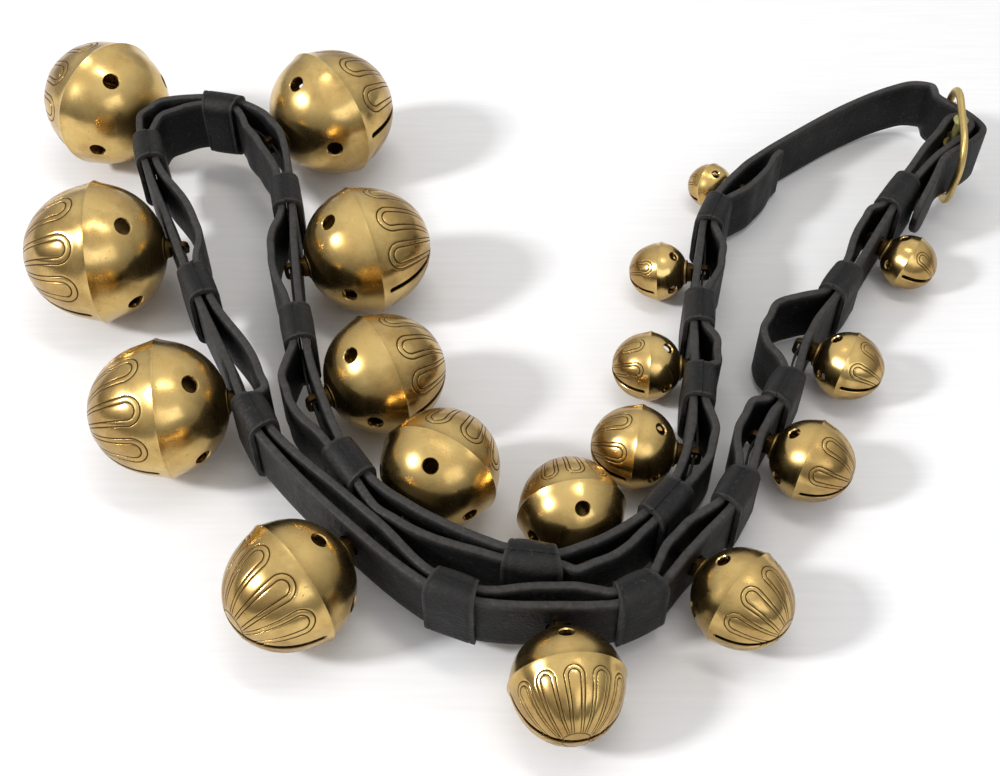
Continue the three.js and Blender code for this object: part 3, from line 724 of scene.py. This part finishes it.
def rounded_loop(half_thick, half_wide, corner):
    """Points round a rounded rectangle, from the foot of its inner side, with outward normals."""
    x, z = half_thick - corner, half_wide - corner
    sides = [(2 * z, (-1, 0), (-x, z)), (2 * x, (0, 1), (x, z)),
             (2 * z, (1, 0), (x, -z)), (2 * x, (0, -1), (-x, -z))]
    around = []
    for side, (length, normal, centre) in enumerate(sides):
        along = (normal[1], -normal[0])
        for step in range(SIDE_POINTS):
            back = length * (1 - step / SIDE_POINTS)
            around.append((centre[0] + normal[0] * corner - along[0] * back,
                           centre[1] + normal[1] * corner - along[1] * back, *normal))
        for step in range(CORNER_POINTS):
            turn = math.pi - math.pi / 2 * (side + step / CORNER_POINTS)
            out = (math.cos(turn), math.sin(turn))
            around.append((centre[0] + out[0] * corner, centre[1] + out[1] * corner, *out))
    return around


# The point round a keeper where its lapped end begins, the points over which it can be felt, and its height
LAP_START = 24
LAP_LENGTH = 16
LAP_STEP = 0.7


def add_keeper(i):
    """A sleeve cut from a strip of leather, creased near both edges, its end lapped and glued down inside."""
    station = keeper_stations[i]
    half_thick = (2 * LEATHER + layer_gap) / 2 + CLEARANCE + KEEPER_WALL - KEEPER_LIP
    half_wide = STRAP_WIDTH / 2 + CLEARANCE + KEEPER_WALL - KEEPER_LIP
    around = rounded_loop(half_thick, half_wide, KEEPER_CORNER)
    rows = len(KEEPER_ROWS) - 1
    bm = grid(rows, len(around))
    wear = bm.verts.layers.float.new("wear")
    inward = (LEATHER + layer_gap) / 2
    for vert in bm.verts:
        row = round((vert.co.x + 1) / 2 * rows)
        spot = round((vert.co.y + 1) / 2 * len(around)) % len(around)
        share = KEEPER_ROWS[row]
        # A hair short of the keeper's ends, where the run is still straight
        middle, outward = straightened(station + (share - 0.5) * (KEEPER_LENGTH - 0.02))
        across, high, normal_across, normal_high = around[spot]
        swell = KEEPER_SWELL * math.sin(math.pi * share) - (CREASE_DEPTH if row in CREASED_ROWS else 0)
        lapped = spot - LAP_START
        if 0 <= lapped < LAP_LENGTH:
            swell += LAP_STEP * (1 - lapped / LAP_LENGTH)
        swell += KEEPER_UNEVEN * noise.noise(Vector((i * 3.7, spot * 0.12, share * 2)))
        point = middle + outward * (across - inward + normal_across * swell)
        lift = min(swell, LAP_STEP if high > 0 else KEEPER_LIP)
        vert.co = in_part_frame(point + UP * (high + normal_high * lift))
        corner = abs(normal_across * normal_high) * 2
        rub = max(CORNER_RUB * corner, 1 - END_RUB_STEEPNESS * min(share, 1 - share))
        vert[wear] = rub * (1 if high > 0 else KEEPER_LOWER_RUB)
    weld(bm, 1e-6)
    sleeve = thickened(mesh_from(bm, "sleeve"), KEEPER_WALL - 2 * KEEPER_LIP, -1, KEEPER_EDGE, True)
    add_leather(f"keeper_{i + 1:02d}", sleeve)


# Bells
def bowl(radius, wall, share, sign):
    """Point of a bowl's profile: distance from the axis, and height along it."""
    depth = FRONT_BOWL if sign > 0 else SHANK_BOWL
    away = BOWL_ROUND * math.sqrt(max(0, 1 - share ** 2))
    if not wall:
        away += RIDGE_LIFT * (math.exp(-share / RIDGE_REACH) - math.exp(-1 / RIDGE_REACH))
    return away * (radius - wall), -RIDGE_SHIFT * radius + sign * share * (depth * radius - wall)


ROUND_STEPS = 32


def turned(profile, turns=ROUND_STEPS):
    """Closed surface of revolution about Z from a profile whose ends are on the axis."""
    bm = bmesh.new()
    verts = [bm.verts.new((x, 0, z)) for x, z in profile]
    edges = [bm.edges.new(pair) for pair in zip(verts, verts[1:])]
    bmesh.ops.spin(bm, geom=verts + edges, axis=(0, 0, 1), cent=(0, 0, 0), angle=2 * math.pi, steps=turns,
                   use_merge=True)
    weld(bm, 1e-4)
    return bm


def bell_skin(profile, turns, engraving, depth):
    """A bell's outer skin: a grid wrapped round the axis onto the profile, then engraved."""
    rows = len(profile) - 1
    mesh = mesh_from(grid(turns, rows), "skin")
    flat = coordinates(mesh)
    angle = (flat[:, 0] + 1) * math.pi
    ring = np.array(profile)[np.rint((flat[:, 1] + 1) / 2 * rows).astype(int)]
    wrapped = np.stack([ring[:, 0] * np.cos(angle), ring[:, 0] * np.sin(angle), ring[:, 1]], axis=1)
    mesh.vertices.foreach_set("co", engraved(wrapped, engraving, depth).astype(np.float32).ravel())
    bm = bmesh.new()
    bm.from_mesh(mesh)
    weld(bm, 1e-4)
    return mesh_from(bm, "skin")


def even_shares(count):
    """Shares of a bowl's depth that space its profile evenly, from the ridge to the pole."""
    return [math.sin(math.pi / 2 * i / count) for i in range(count + 1)]


def bell_profile(radius, wall, front, back):
    """A bell's profile from its front pole over the ridge to its shank pole."""
    profile = [bowl(radius, wall, share, 1) for share in reversed(even_shares(front))]
    return profile + [bowl(radius, wall, share, -1) for share in even_shares(back)][1:]


def measured_bowl(radius, count):
    """A front bowl's profile from the pole to the ridge, and the length along it at each point."""
    profile = np.array([bowl(radius, 0, share, 1) for share in reversed(even_shares(count))])
    return profile, np.concatenate([[0], np.cumsum(np.linalg.norm(np.diff(profile, axis=0), axis=1))])


def petal_angles(diameter):
    """Directions of the petals to each side of the slot, in degrees, and their half width as a share of the
    radius: few on small bells, narrow ones on the middle sizes."""
    if diameter < 35:
        return (-26, 26), 0.235
    if diameter < 45:
        return (-40, 0, 40), 0.225
    if 50 < diameter < 55:
        return (-48, -24, 0, 24, 48), 0.17
    return (-46, -15.5, 15.5, 46), 0.205


# Petals, as shares of the bell's radius: how far past the slot their directions meet, their start from the
# pole and their crowns' distance from the ridge
PETAL_PAST_SLOT = 0.25
PETAL_START = 0.24
PETAL_CROWN = 0.19
# Half width of an engraved line, in petal half widths, and its depth
LINE_WIDTH = 0.06
LINE_DEPTH_BASE = 0.12
LINE_DEPTH_SHARE = 0.0015
# How a petal's middle rises: over how many half widths, and by what share of the lines' depth
PROUD_RAMP = 0.4
PROUD_SHARE = 0.5


class Engraving:
    """Where a point of a bell's front bowl lies on its petal: across and along, in petal half widths."""
    def __init__(self, diameter):
        radius = diameter / 2
        self.radius = radius
        self.past_slot = PETAL_PAST_SLOT * radius
        angles, width = petal_angles(diameter)
        self.angles = np.radians(angles)
        self.half = width * radius
        profile, self.lengths = measured_bowl(radius, 200)
        self.heights = profile[:, 1]
        self.crown = self.lengths[-1] - PETAL_CROWN * radius - self.half
        self.start = PETAL_START * radius

    def measure(self, points):
        sideways = np.abs(points[:, 0]) + self.past_slot
        away = np.hypot(sideways, points[:, 1])
        along = np.interp(-points[:, 2], -self.heights, self.lengths)
        azimuth = np.arctan2(points[:, 1], sideways)
        across = away * np.min(np.abs(azimuth[:, None] - self.angles[None, :]), axis=1)
        taper = np.clip((along - self.start) / (self.crown - self.start), 0, 1) * 0.5 + 0.5
        return across / taper / self.half, (along - self.crown) / self.half, (along - self.start) / self.half


def engraved(points, engraving, depth):
    """Points of the front bowl sunk along the engraved lines, with each petal's middle slightly proud."""
    across, along, arc = engraving.measure(points)
    reach = np.hypot(across, np.maximum(along, 0))
    lines = sum(np.exp(-((reach - at) / LINE_WIDTH) ** 2) for at in PETAL_LOOPS)
    proud = np.clip((PETAL_LOOPS[1] - reach) / PROUD_RAMP, 0, 1)
    front = points[:, 2] > -RIDGE_SHIFT * engraving.radius
    shown = np.clip(arc / PETAL_FADE, 0, 1) * front
    sink = (lines * depth - proud * depth * PROUD_SHARE) * shown
    inner = np.array([0, 0, -RIDGE_SHIFT * engraving.radius])
    rays = points - inner
    rays /= np.maximum(np.linalg.norm(rays, axis=1, keepdims=True), 1e-6)
    return points - rays * sink[:, None]


SLOT_STEPS = 72
SLOT_EDGE = 0.35
COUNTERSINK = 0.8
COUNTERSINK_DEPTH = 0.7
# How far the holes' cutters reach in, as a share of the radius
DRILL_REACH = 0.45


def slot_cutter(bell, width):
    """The sound slot, swept over the front pole from rim to rim with round ends and a broken edge."""
    radius = bell.radius
    profile, lengths = measured_bowl(radius, 120)
    end = lengths[-1] * SLOT_REACH
    edge = SLOT_EDGE
    # Side of the slot and height over the skin, from well inside the wall to well above it
    section = [(-1, -3.2), (-1, -edge), (-1, 0.02), (-1, 2.5), (1, 2.5), (1, 0.02), (1, -edge), (1, -3.2)]
    widen = [0, 0, edge, edge * 2, edge * 2, edge, 0, 0]
    bm = grid(SLOT_STEPS, len(section))
    for vert in bm.verts:
        row = round((vert.co.x + 1) / 2 * SLOT_STEPS)
        spot = round((vert.co.y + 1) / 2 * len(section)) % len(section)
        share = math.sin((-1 + 2 * row / SLOT_STEPS) * math.pi / 2)
        arc = abs(share) * end
        away = float(np.interp(arc, lengths, profile[:, 0]))
        high = float(np.interp(arc, lengths, profile[:, 1]))
        inside = max(0, arc - (end - width / 2)) / (width / 2)
        half = width / 2 * math.sqrt(max(0.0004, 1 - inside ** 2))
        sign, depth = section[spot]
        normal = Vector((0, away, high + RIDGE_SHIFT * radius)).normalized()
        point = Vector((0, away, high)) + normal * depth
        point.y *= 1 if share >= 0 else -1
        point.x = sign * (half + widen[spot])
        vert.co = point
    bmesh.ops.remove_doubles(bm, verts=bm.verts, dist=1e-5)
    bmesh.ops.holes_fill(bm, edges=[e for e in bm.edges if e.is_boundary], sides=0)
    bmesh.ops.recalc_face_normals(bm, faces=bm.faces)
    return mesh_from(bm, "slot")


def hole_cutters(bell):
    """Four drilled sound holes with a small countersink."""
    radius = bell.radius
    hole = (HOLE_BASE + HOLE_SHARE * 2 * radius) / 2
    latitude = math.radians(HOLE_LATITUDE)
    share = next(s for s in even_shares(400) if math.atan2(*reversed(bowl(radius, 0, s, -1))) < -latitude)
    surface = math.hypot(*bowl(radius, 0, share, -1))
    bottom, mouth = surface - DRILL_REACH * radius, hole + COUNTERSINK
    tipped = Matrix.Rotation(math.pi / 2 + latitude, 4, "Y")
    tools = []
    for quarter in range(4):
        bm = turned([(0, bottom), (hole, bottom), (hole, surface - COUNTERSINK_DEPTH), (mouth, surface + 0.1),
                     (mouth, surface + 4), (0, surface + 4)])
        place = Matrix.Rotation(quarter * math.pi / 2, 4, "Z") @ tipped
        tools.append(placed(bm, place, "sound_hole"))
    return tools


# The lug's root in the wall as a share of it, how much slimmer it is than the solids', and its roundings
SHANK_ROOT = 0.6
SHANK_SLACK = 0.1
SHANK_CORNER = 2.6
SHANK_EDGE = 0.3
EYE_CORNER = 0.7


def shank_meshes(bell):
    """The cast lug behind the bell, rounded at its end, and the cutter for its eye."""
    eye_at = bell.shank_pole + SHANK_NECK + LEATHER / 2 + eye_offset
    end = eye_at + EYE_DEPTH / 2 + SHANK_END
    root = bell.shank_pole - BELL_WALL * SHANK_ROOT
    size = (SHANK_WIDTH - SHANK_SLACK, SHANK_THICKNESS - SHANK_SLACK, end - root)
    bm = block(size, -(end + root) / 2)
    corners = [e for e in edges_across(bm) if e.verts[0].co.z < -root - 1]
    rounded(bm, corners, SHANK_CORNER, 5)
    rounded(bm, bm.edges, SHANK_EDGE, 2)
    lug = mesh_from(bm, "lug")
    bm = block((EYE_HEIGHT, SHANK_THICKNESS * 2, EYE_DEPTH), -eye_at)
    rounded(bm, edges_across(bm), EYE_CORNER, 3)
    return lug, mesh_from(bm, "eye")


# Rings on the front and the shank bowl, and steps round: finer on the bells over a size
LARGE_BELL = 48
LARGE_SKIN = (84, 30, 336)
SMALL_SKIN = (56, 20, 224)
HOLLOW_SKIN = (24, 20, 64)


def add_bell(bell):
    """A bell: engraved skin, neck and lug, less its hollow, slot, eye and sound holes."""
    radius = bell.radius
    diameter = 2 * radius
    front, back, turns = LARGE_SKIN if diameter > LARGE_BELL else SMALL_SKIN
    engraving = Engraving(diameter)
    outer = bell_profile(radius, 0, front, back)
    skin = bell_skin(outer, turns, engraving, LINE_DEPTH_BASE + LINE_DEPTH_SHARE * diameter)
    # The neck: a boss on the shank pole, flared onto the bowl and clear of the strap
    pole = -bell.shank_pole
    foot = pole - SHANK_NECK + 0.3
    neck = mesh_from(turned([(0, foot), (4.7, foot), (5, foot + 0.4), (5.2, pole - 0.4), (6.6, pole + 0.25),
                             (6.6, pole + 1.2), (0, pole + 1.2)]), "neck")
    lug, eye = shank_meshes(bell)
    front, back, turns = HOLLOW_SKIN
    inner = bell_profile(radius, BELL_WALL, front, back)
    slot = slot_cutter(bell, SLOT_BASE + SLOT_SHARE * diameter)
    hollow = cut(mesh_from(turned(inner, turns), "hollow"), [slot, eye, *hole_cutters(bell)], "UNION")
    mesh = cut(cut(skin, [cut(neck, [lug], "UNION")], "UNION"), [hollow])
    points = coordinates(mesh)
    across, along, arc = engraving.measure(points)
    ridge = -RIDGE_SHIFT * radius
    behind = points[:, 2] < ridge
    meridian = (points[:, 2] - ridge) / np.where(behind, SHANK_BOWL * radius, FRONT_BOWL * radius)
    write_attribute(mesh, "meridian", np.clip(meridian, -1.3, 1))
    write_attribute(mesh, "arc", np.where(behind, -5, arc))
    layer = mesh.uv_layers.new(name="petals")
    corners = np.empty(len(mesh.loops), dtype=np.int32)
    mesh.loops.foreach_get("vertex_index", corners)
    flat = np.stack([np.where(behind, 5, across), along], axis=1)[corners]
    layer.data.foreach_set("uv", flat.astype(np.float32).ravel())
    mesh.transform(TO_METRES @ bell.turned)
    name = f"bell_{bell.number}"
    add_piece(name, mesh, name, brass, 35)


# Shares of the ball's radius
PEA_ROUGH = 0.03
PEA_INSET = 0.04
SEAM_HEIGHT = 0.025
SEAM_WIDTH = 0.06


def add_pea(bell):
    """A loose iron ball, a little out of round, with its casting seam."""
    name = f"pea_{bell.number}"
    low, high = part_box(name)
    middle = (Vector(low) + Vector(high)) / 2 / MM
    radius = (PEA_BASE + PEA_SHARE * 2 * bell.radius) / 2
    bm = bmesh.new()
    bmesh.ops.create_icosphere(bm, subdivisions=3, radius=radius)
    for vert in bm.verts:
        rough = PEA_ROUGH * noise.noise(vert.co * 0.5) - PEA_INSET
        seam = SEAM_HEIGHT * math.exp(-(vert.co.z / (SEAM_WIDTH * radius)) ** 2)
        vert.co *= 1 + rough + seam
    ball = placed(bm, TO_METRES @ Matrix.Translation(middle), "pea")
    add_piece(name, ball, name, iron, 60)


# Buckle
rock = JOINTS["buckle_rock"]
bar_axis = Vector(rock["axis"]).normalized()
buckle_along = frame_inward.cross(bar_axis).normalized()
BUCKLE_PLACE = (Matrix.Translation(Vector(rock["pos_m"]) / MM)
                @ Matrix((buckle_along, frame_inward, bar_axis)).transposed().to_4x4())
hub_eye = BAR_DIAMETER / 2 + CLEARANCE
hub_radius = hub_eye + TONGUE_WALL


# The rim's depth across the frame's plane, as a share of its width in it
RIM_DEPTH = 0.75
# The bar's fillets: how far they stand out and run along it, and where they start from the rim's middle
FILLET_OUT = 1.7
FILLET_ALONG = 2.6
FILLET_START = 2.4
BLADE_EDGE = 0.7
HUB_EDGE = 0.5
PATINA_REACH = 8


def buckle_ring():
    """The frame's rim: a round section carried along each side and spun round each corner."""
    half_long = (BUCKLE_LENGTH - BUCKLE_STOCK) / 2
    half_wide = (BUCKLE_WIDTH - BUCKLE_STOCK) / 2
    corner = BUCKLE_CORNER - BUCKLE_STOCK / 2
    bm = bmesh.new()
    made = bmesh.ops.create_circle(bm, cap_ends=False, segments=24, radius=BUCKLE_STOCK / 2)
    flattened = Matrix.Diagonal((1, RIM_DEPTH, 1, 1))
    x, z = half_long - corner, half_wide - corner
    place = Matrix.Translation((half_long, 0, -z))
    bmesh.ops.transform(bm, matrix=place @ flattened, verts=made["verts"])
    ring = list({edge for vert in made["verts"] for edge in vert.link_edges})
    sides = [((0, 0, 2 * z), (x, 0, z)), ((-2 * x, 0, 0), (-x, 0, z)),
             ((0, 0, -2 * z), (-x, 0, -z)), ((2 * x, 0, 0), (x, 0, -z))]
    for run, centre in sides:
        moved = bmesh.ops.extrude_edge_only(bm, edges=ring)["geom"]
        carried = [v for v in moved if isinstance(v, bmesh.types.BMVert)]
        bmesh.ops.translate(bm, vec=run, verts=carried)
        ring = [e for e in moved if isinstance(e, bmesh.types.BMEdge)]
        spun = bmesh.ops.spin(bm, geom=ring, axis=(0, -1, 0), cent=centre, angle=math.pi / 2, steps=12)
        ring = [e for e in spun["geom_last"] if isinstance(e, bmesh.types.BMEdge)]
    weld(bm, 1e-3)
    return mesh_from(bm, "rim")


def buckle_bar():
    """The centre bar, filleted into the rim at both ends."""
    half = (BUCKLE_WIDTH - BUCKLE_STOCK) / 2
    radius = BAR_DIAMETER / 2
    profile = [(0, -half)]
    for i in range(9):
        turn = math.pi / 2 * i / 8
        profile.append((radius + FILLET_OUT * (1 - math.sin(turn)),
                        -half + FILLET_START + FILLET_ALONG * (1 - math.cos(turn))))
    profile += [(away, -high) for away, high in reversed(profile)]
    return mesh_from(turned(profile, 24), "bar")


def tongue_outline(spare):
    """Corners of the tongue's blade, along the frame and towards the inside of the loop."""
    rim = -(BUCKLE_STOCK / 2 + CLEARANCE)
    tip = BUCKLE_LENGTH / 2 + 1
    return [(0, hub_eye - TONGUE_WALL + spare), (0, -hub_radius - spare),
            (tip + spare, rim - TONGUE_WALL - spare), (tip + spare, rim + spare),
            (BUCKLE_LENGTH / 2 - BUCKLE_STOCK - CLEARANCE, rim + spare)]


def tongue_blade(spare, edge=0):
    bm = bmesh.new()
    half = TONGUE_WIDTH / 2 + spare
    face = bm.faces.new([bm.verts.new((x, y, -half)) for x, y in tongue_outline(spare)])
    moved = bmesh.ops.extrude_face_region(bm, geom=[face])["geom"]
    top = [v for v in moved if isinstance(v, bmesh.types.BMVert)]
    bmesh.ops.translate(bm, vec=(0, 0, 2 * half), verts=top)
    bmesh.ops.recalc_face_normals(bm, faces=bm.faces)
    if edge:
        rounded(bm, bm.edges, edge, 3)
    return bm


def tongue_room():
    """Cutters for the strap: room for the tongue's hub and its blade."""
    reach = hub_radius + TONGUE_ROOM
    half = TONGUE_WIDTH / 2 + TONGUE_ROOM
    hub = turned([(0, -half), (reach, -half), (reach, half), (0, half)])
    place = TO_METRES @ BUCKLE_PLACE
    return [placed(hub, place, "hub_room"), placed(tongue_blade(TONGUE_ROOM), place, "blade_room")]


def add_buckle():
    mesh = cut(buckle_ring(), [buckle_bar()], "UNION")
    points = coordinates(mesh)
    # Patina near the bar's line, and only towards its ends
    from_bar = np.abs(points[:, 0]) / PATINA_REACH
    near_rim = np.abs(points[:, 2]) / (BUCKLE_WIDTH / 2)
    write_attribute(mesh, "patina", np.clip(1.2 - from_bar, 0, 1) * np.clip(near_rim * 2 - 0.6, 0, 1))
    mesh.transform(TO_METRES @ BUCKLE_PLACE)
    add_piece("buckle_frame", mesh, "buckle", frame_brass, 60)
    half = TONGUE_WIDTH / 2
    face = hub_radius - HUB_EDGE
    side = half - HUB_EDGE
    hub = mesh_from(turned([(0, -half), (face, -half), (hub_radius, -side), (hub_radius, side), (face, half),
                            (0, half)]), "hub")
    past = half + 1
    bore = mesh_from(turned([(0, -past), (hub_eye, -past), (hub_eye, past), (0, past)]), "bore")
    tongue = cut(cut(mesh_from(tongue_blade(0, BLADE_EDGE), "blade"), [hub], "UNION"), [bore])
    write_attribute(tongue, "patina", np.zeros(len(tongue.vertices)))
    tongue.transform(TO_METRES @ BUCKLE_PLACE)
    add_piece("buckle_tongue", tongue, "tongue", frame_brass, 40)


add_straps()
for i in range(len(KEEPER_POINTS)):
    add_keeper(i)
for bell in bells:
    add_bell(bell)
    add_pea(bell)
add_buckle()


# Floor, light and camera
# The board runs out into the white backdrop between these distances from the middle, in metres
BOARD_ENDS = 0.55
BACKDROP_STARTS = 1.5


def add_floor():
    """A white painted board, dull, with faint brush lines a few millimetres apart."""
    bm = bmesh.new()
    bmesh.ops.create_grid(bm, x_segments=2, y_segments=2, size=6)
    material, tree, shader, where = new_material("painted_board")
    stretched = add_node(tree, "ShaderNodeMapping", {"Vector": where, "Scale": (6, 120, 1)})
    brush = clouded(tree, stretched.outputs[0], 3, 3)
    paint = blended(tree, brush, linear("#E9E9EB"), linear("#F4F4F5"))
    feed(tree, shader, {"Base Color": paint, "Roughness": 0.7})
    distance = add_node(tree, "ShaderNodeVectorMath", {0: where}, operation="LENGTH").outputs["Value"]
    far = ranged(tree, distance, BOARD_ENDS, BACKDROP_STARTS, kind="SMOOTHSTEP")
    seen = add_node(tree, "ShaderNodeLightPath").outputs["Is Camera Ray"]
    faded = maths(tree, "MULTIPLY", far, seen)
    backdrop = add_node(tree, "ShaderNodeEmission", {"Color": (1, 1, 1, 1), "Strength": 1})
    merged = add_node(tree, "ShaderNodeMixShader", {0: faded, 1: shader.outputs[0], 2: backdrop.outputs[0]})
    tree.links.new(merged.outputs[0], tree.nodes["Material Output"].inputs["Surface"])
    mesh = mesh_from(bm, "floor")
    mesh.materials.append(material)
    floor = in_scene("floor", mesh)


def add_light(name, at, size, power, colour):
    lamp = bpy.data.lights.new(name, "AREA")
    lamp.shape = "RECTANGLE"
    lamp.size, lamp.size_y = size
    lamp.energy = power
    lamp.color = linear(colour)[:3]
    light = in_scene(name, lamp)
    light.location = at
    light.rotation_euler = (-Vector(at)).to_track_quat("-Z", "Y").to_euler()


add_floor()
add_light("window", (-2.2, -0.64, 1.75), (0.4, 0.4), 55, "#FFFFFF")
add_light("ceiling_lamp", (0.1, 0.2, 1.6), (1.1, 0.2), 6, "#FFF8EC")
add_light("room", (0.9, -1.4, 1.2), (1.2, 0.8), 4, "#F6F8FF")

world = bpy.data.worlds.new("room")
bpy.context.scene.world = world
world.use_nodes = True
sky = world.node_tree
direction = add_node(sky, "ShaderNodeTexCoord").outputs["Generated"]
axes = add_node(sky, "ShaderNodeSeparateXYZ", {0: direction})
# Light from overhead and behind, dark low down as in a deep room; metal sees more of the dark than the floor
behind = maths(sky, "MAXIMUM", axes.outputs["Y"], 0)
height = maths(sky, "MULTIPLY_ADD", behind, 0.35, axes.outputs["Z"])
glow = ranged(sky, height, 0.1, 0.9, 0.27, 1.1)
rays = add_node(sky, "ShaderNodeLightPath")
fill = add_node(sky, "ShaderNodeMix", {0: rays.outputs["Is Glossy Ray"], 2: 0.68, 3: glow})
level = add_node(sky, "ShaderNodeMix", {0: rays.outputs["Is Camera Ray"], 2: fill.outputs[0], 3: 1.0})
feed(sky, sky.nodes["Background"], {"Color": linear("#F4F5F7"), "Strength": level.outputs[0]})

# The photograph's view; the lens is 1.3 times the sensor's width
CAMERA_DISTANCE = 680
CAMERA_ELEVATION = math.radians(50)
SENSOR = 36
FOCAL_LENGTH = 46.8
camera_data = bpy.data.cameras.new("camera")
camera_data.sensor_width = SENSOR
camera_data.lens = FOCAL_LENGTH
camera_data.clip_start = 0.01
camera = in_scene("camera", camera_data)
back_off = Vector((0, -math.cos(CAMERA_ELEVATION), math.sin(CAMERA_ELEVATION))) * CAMERA_DISTANCE
camera.location = in_part_frame(back_off)
camera.rotation_euler = (math.pi / 2 - CAMERA_ELEVATION, 0, 0)
bpy.context.scene.camera = camera
bpy.context.scene.view_settings.view_transform = "Standard"
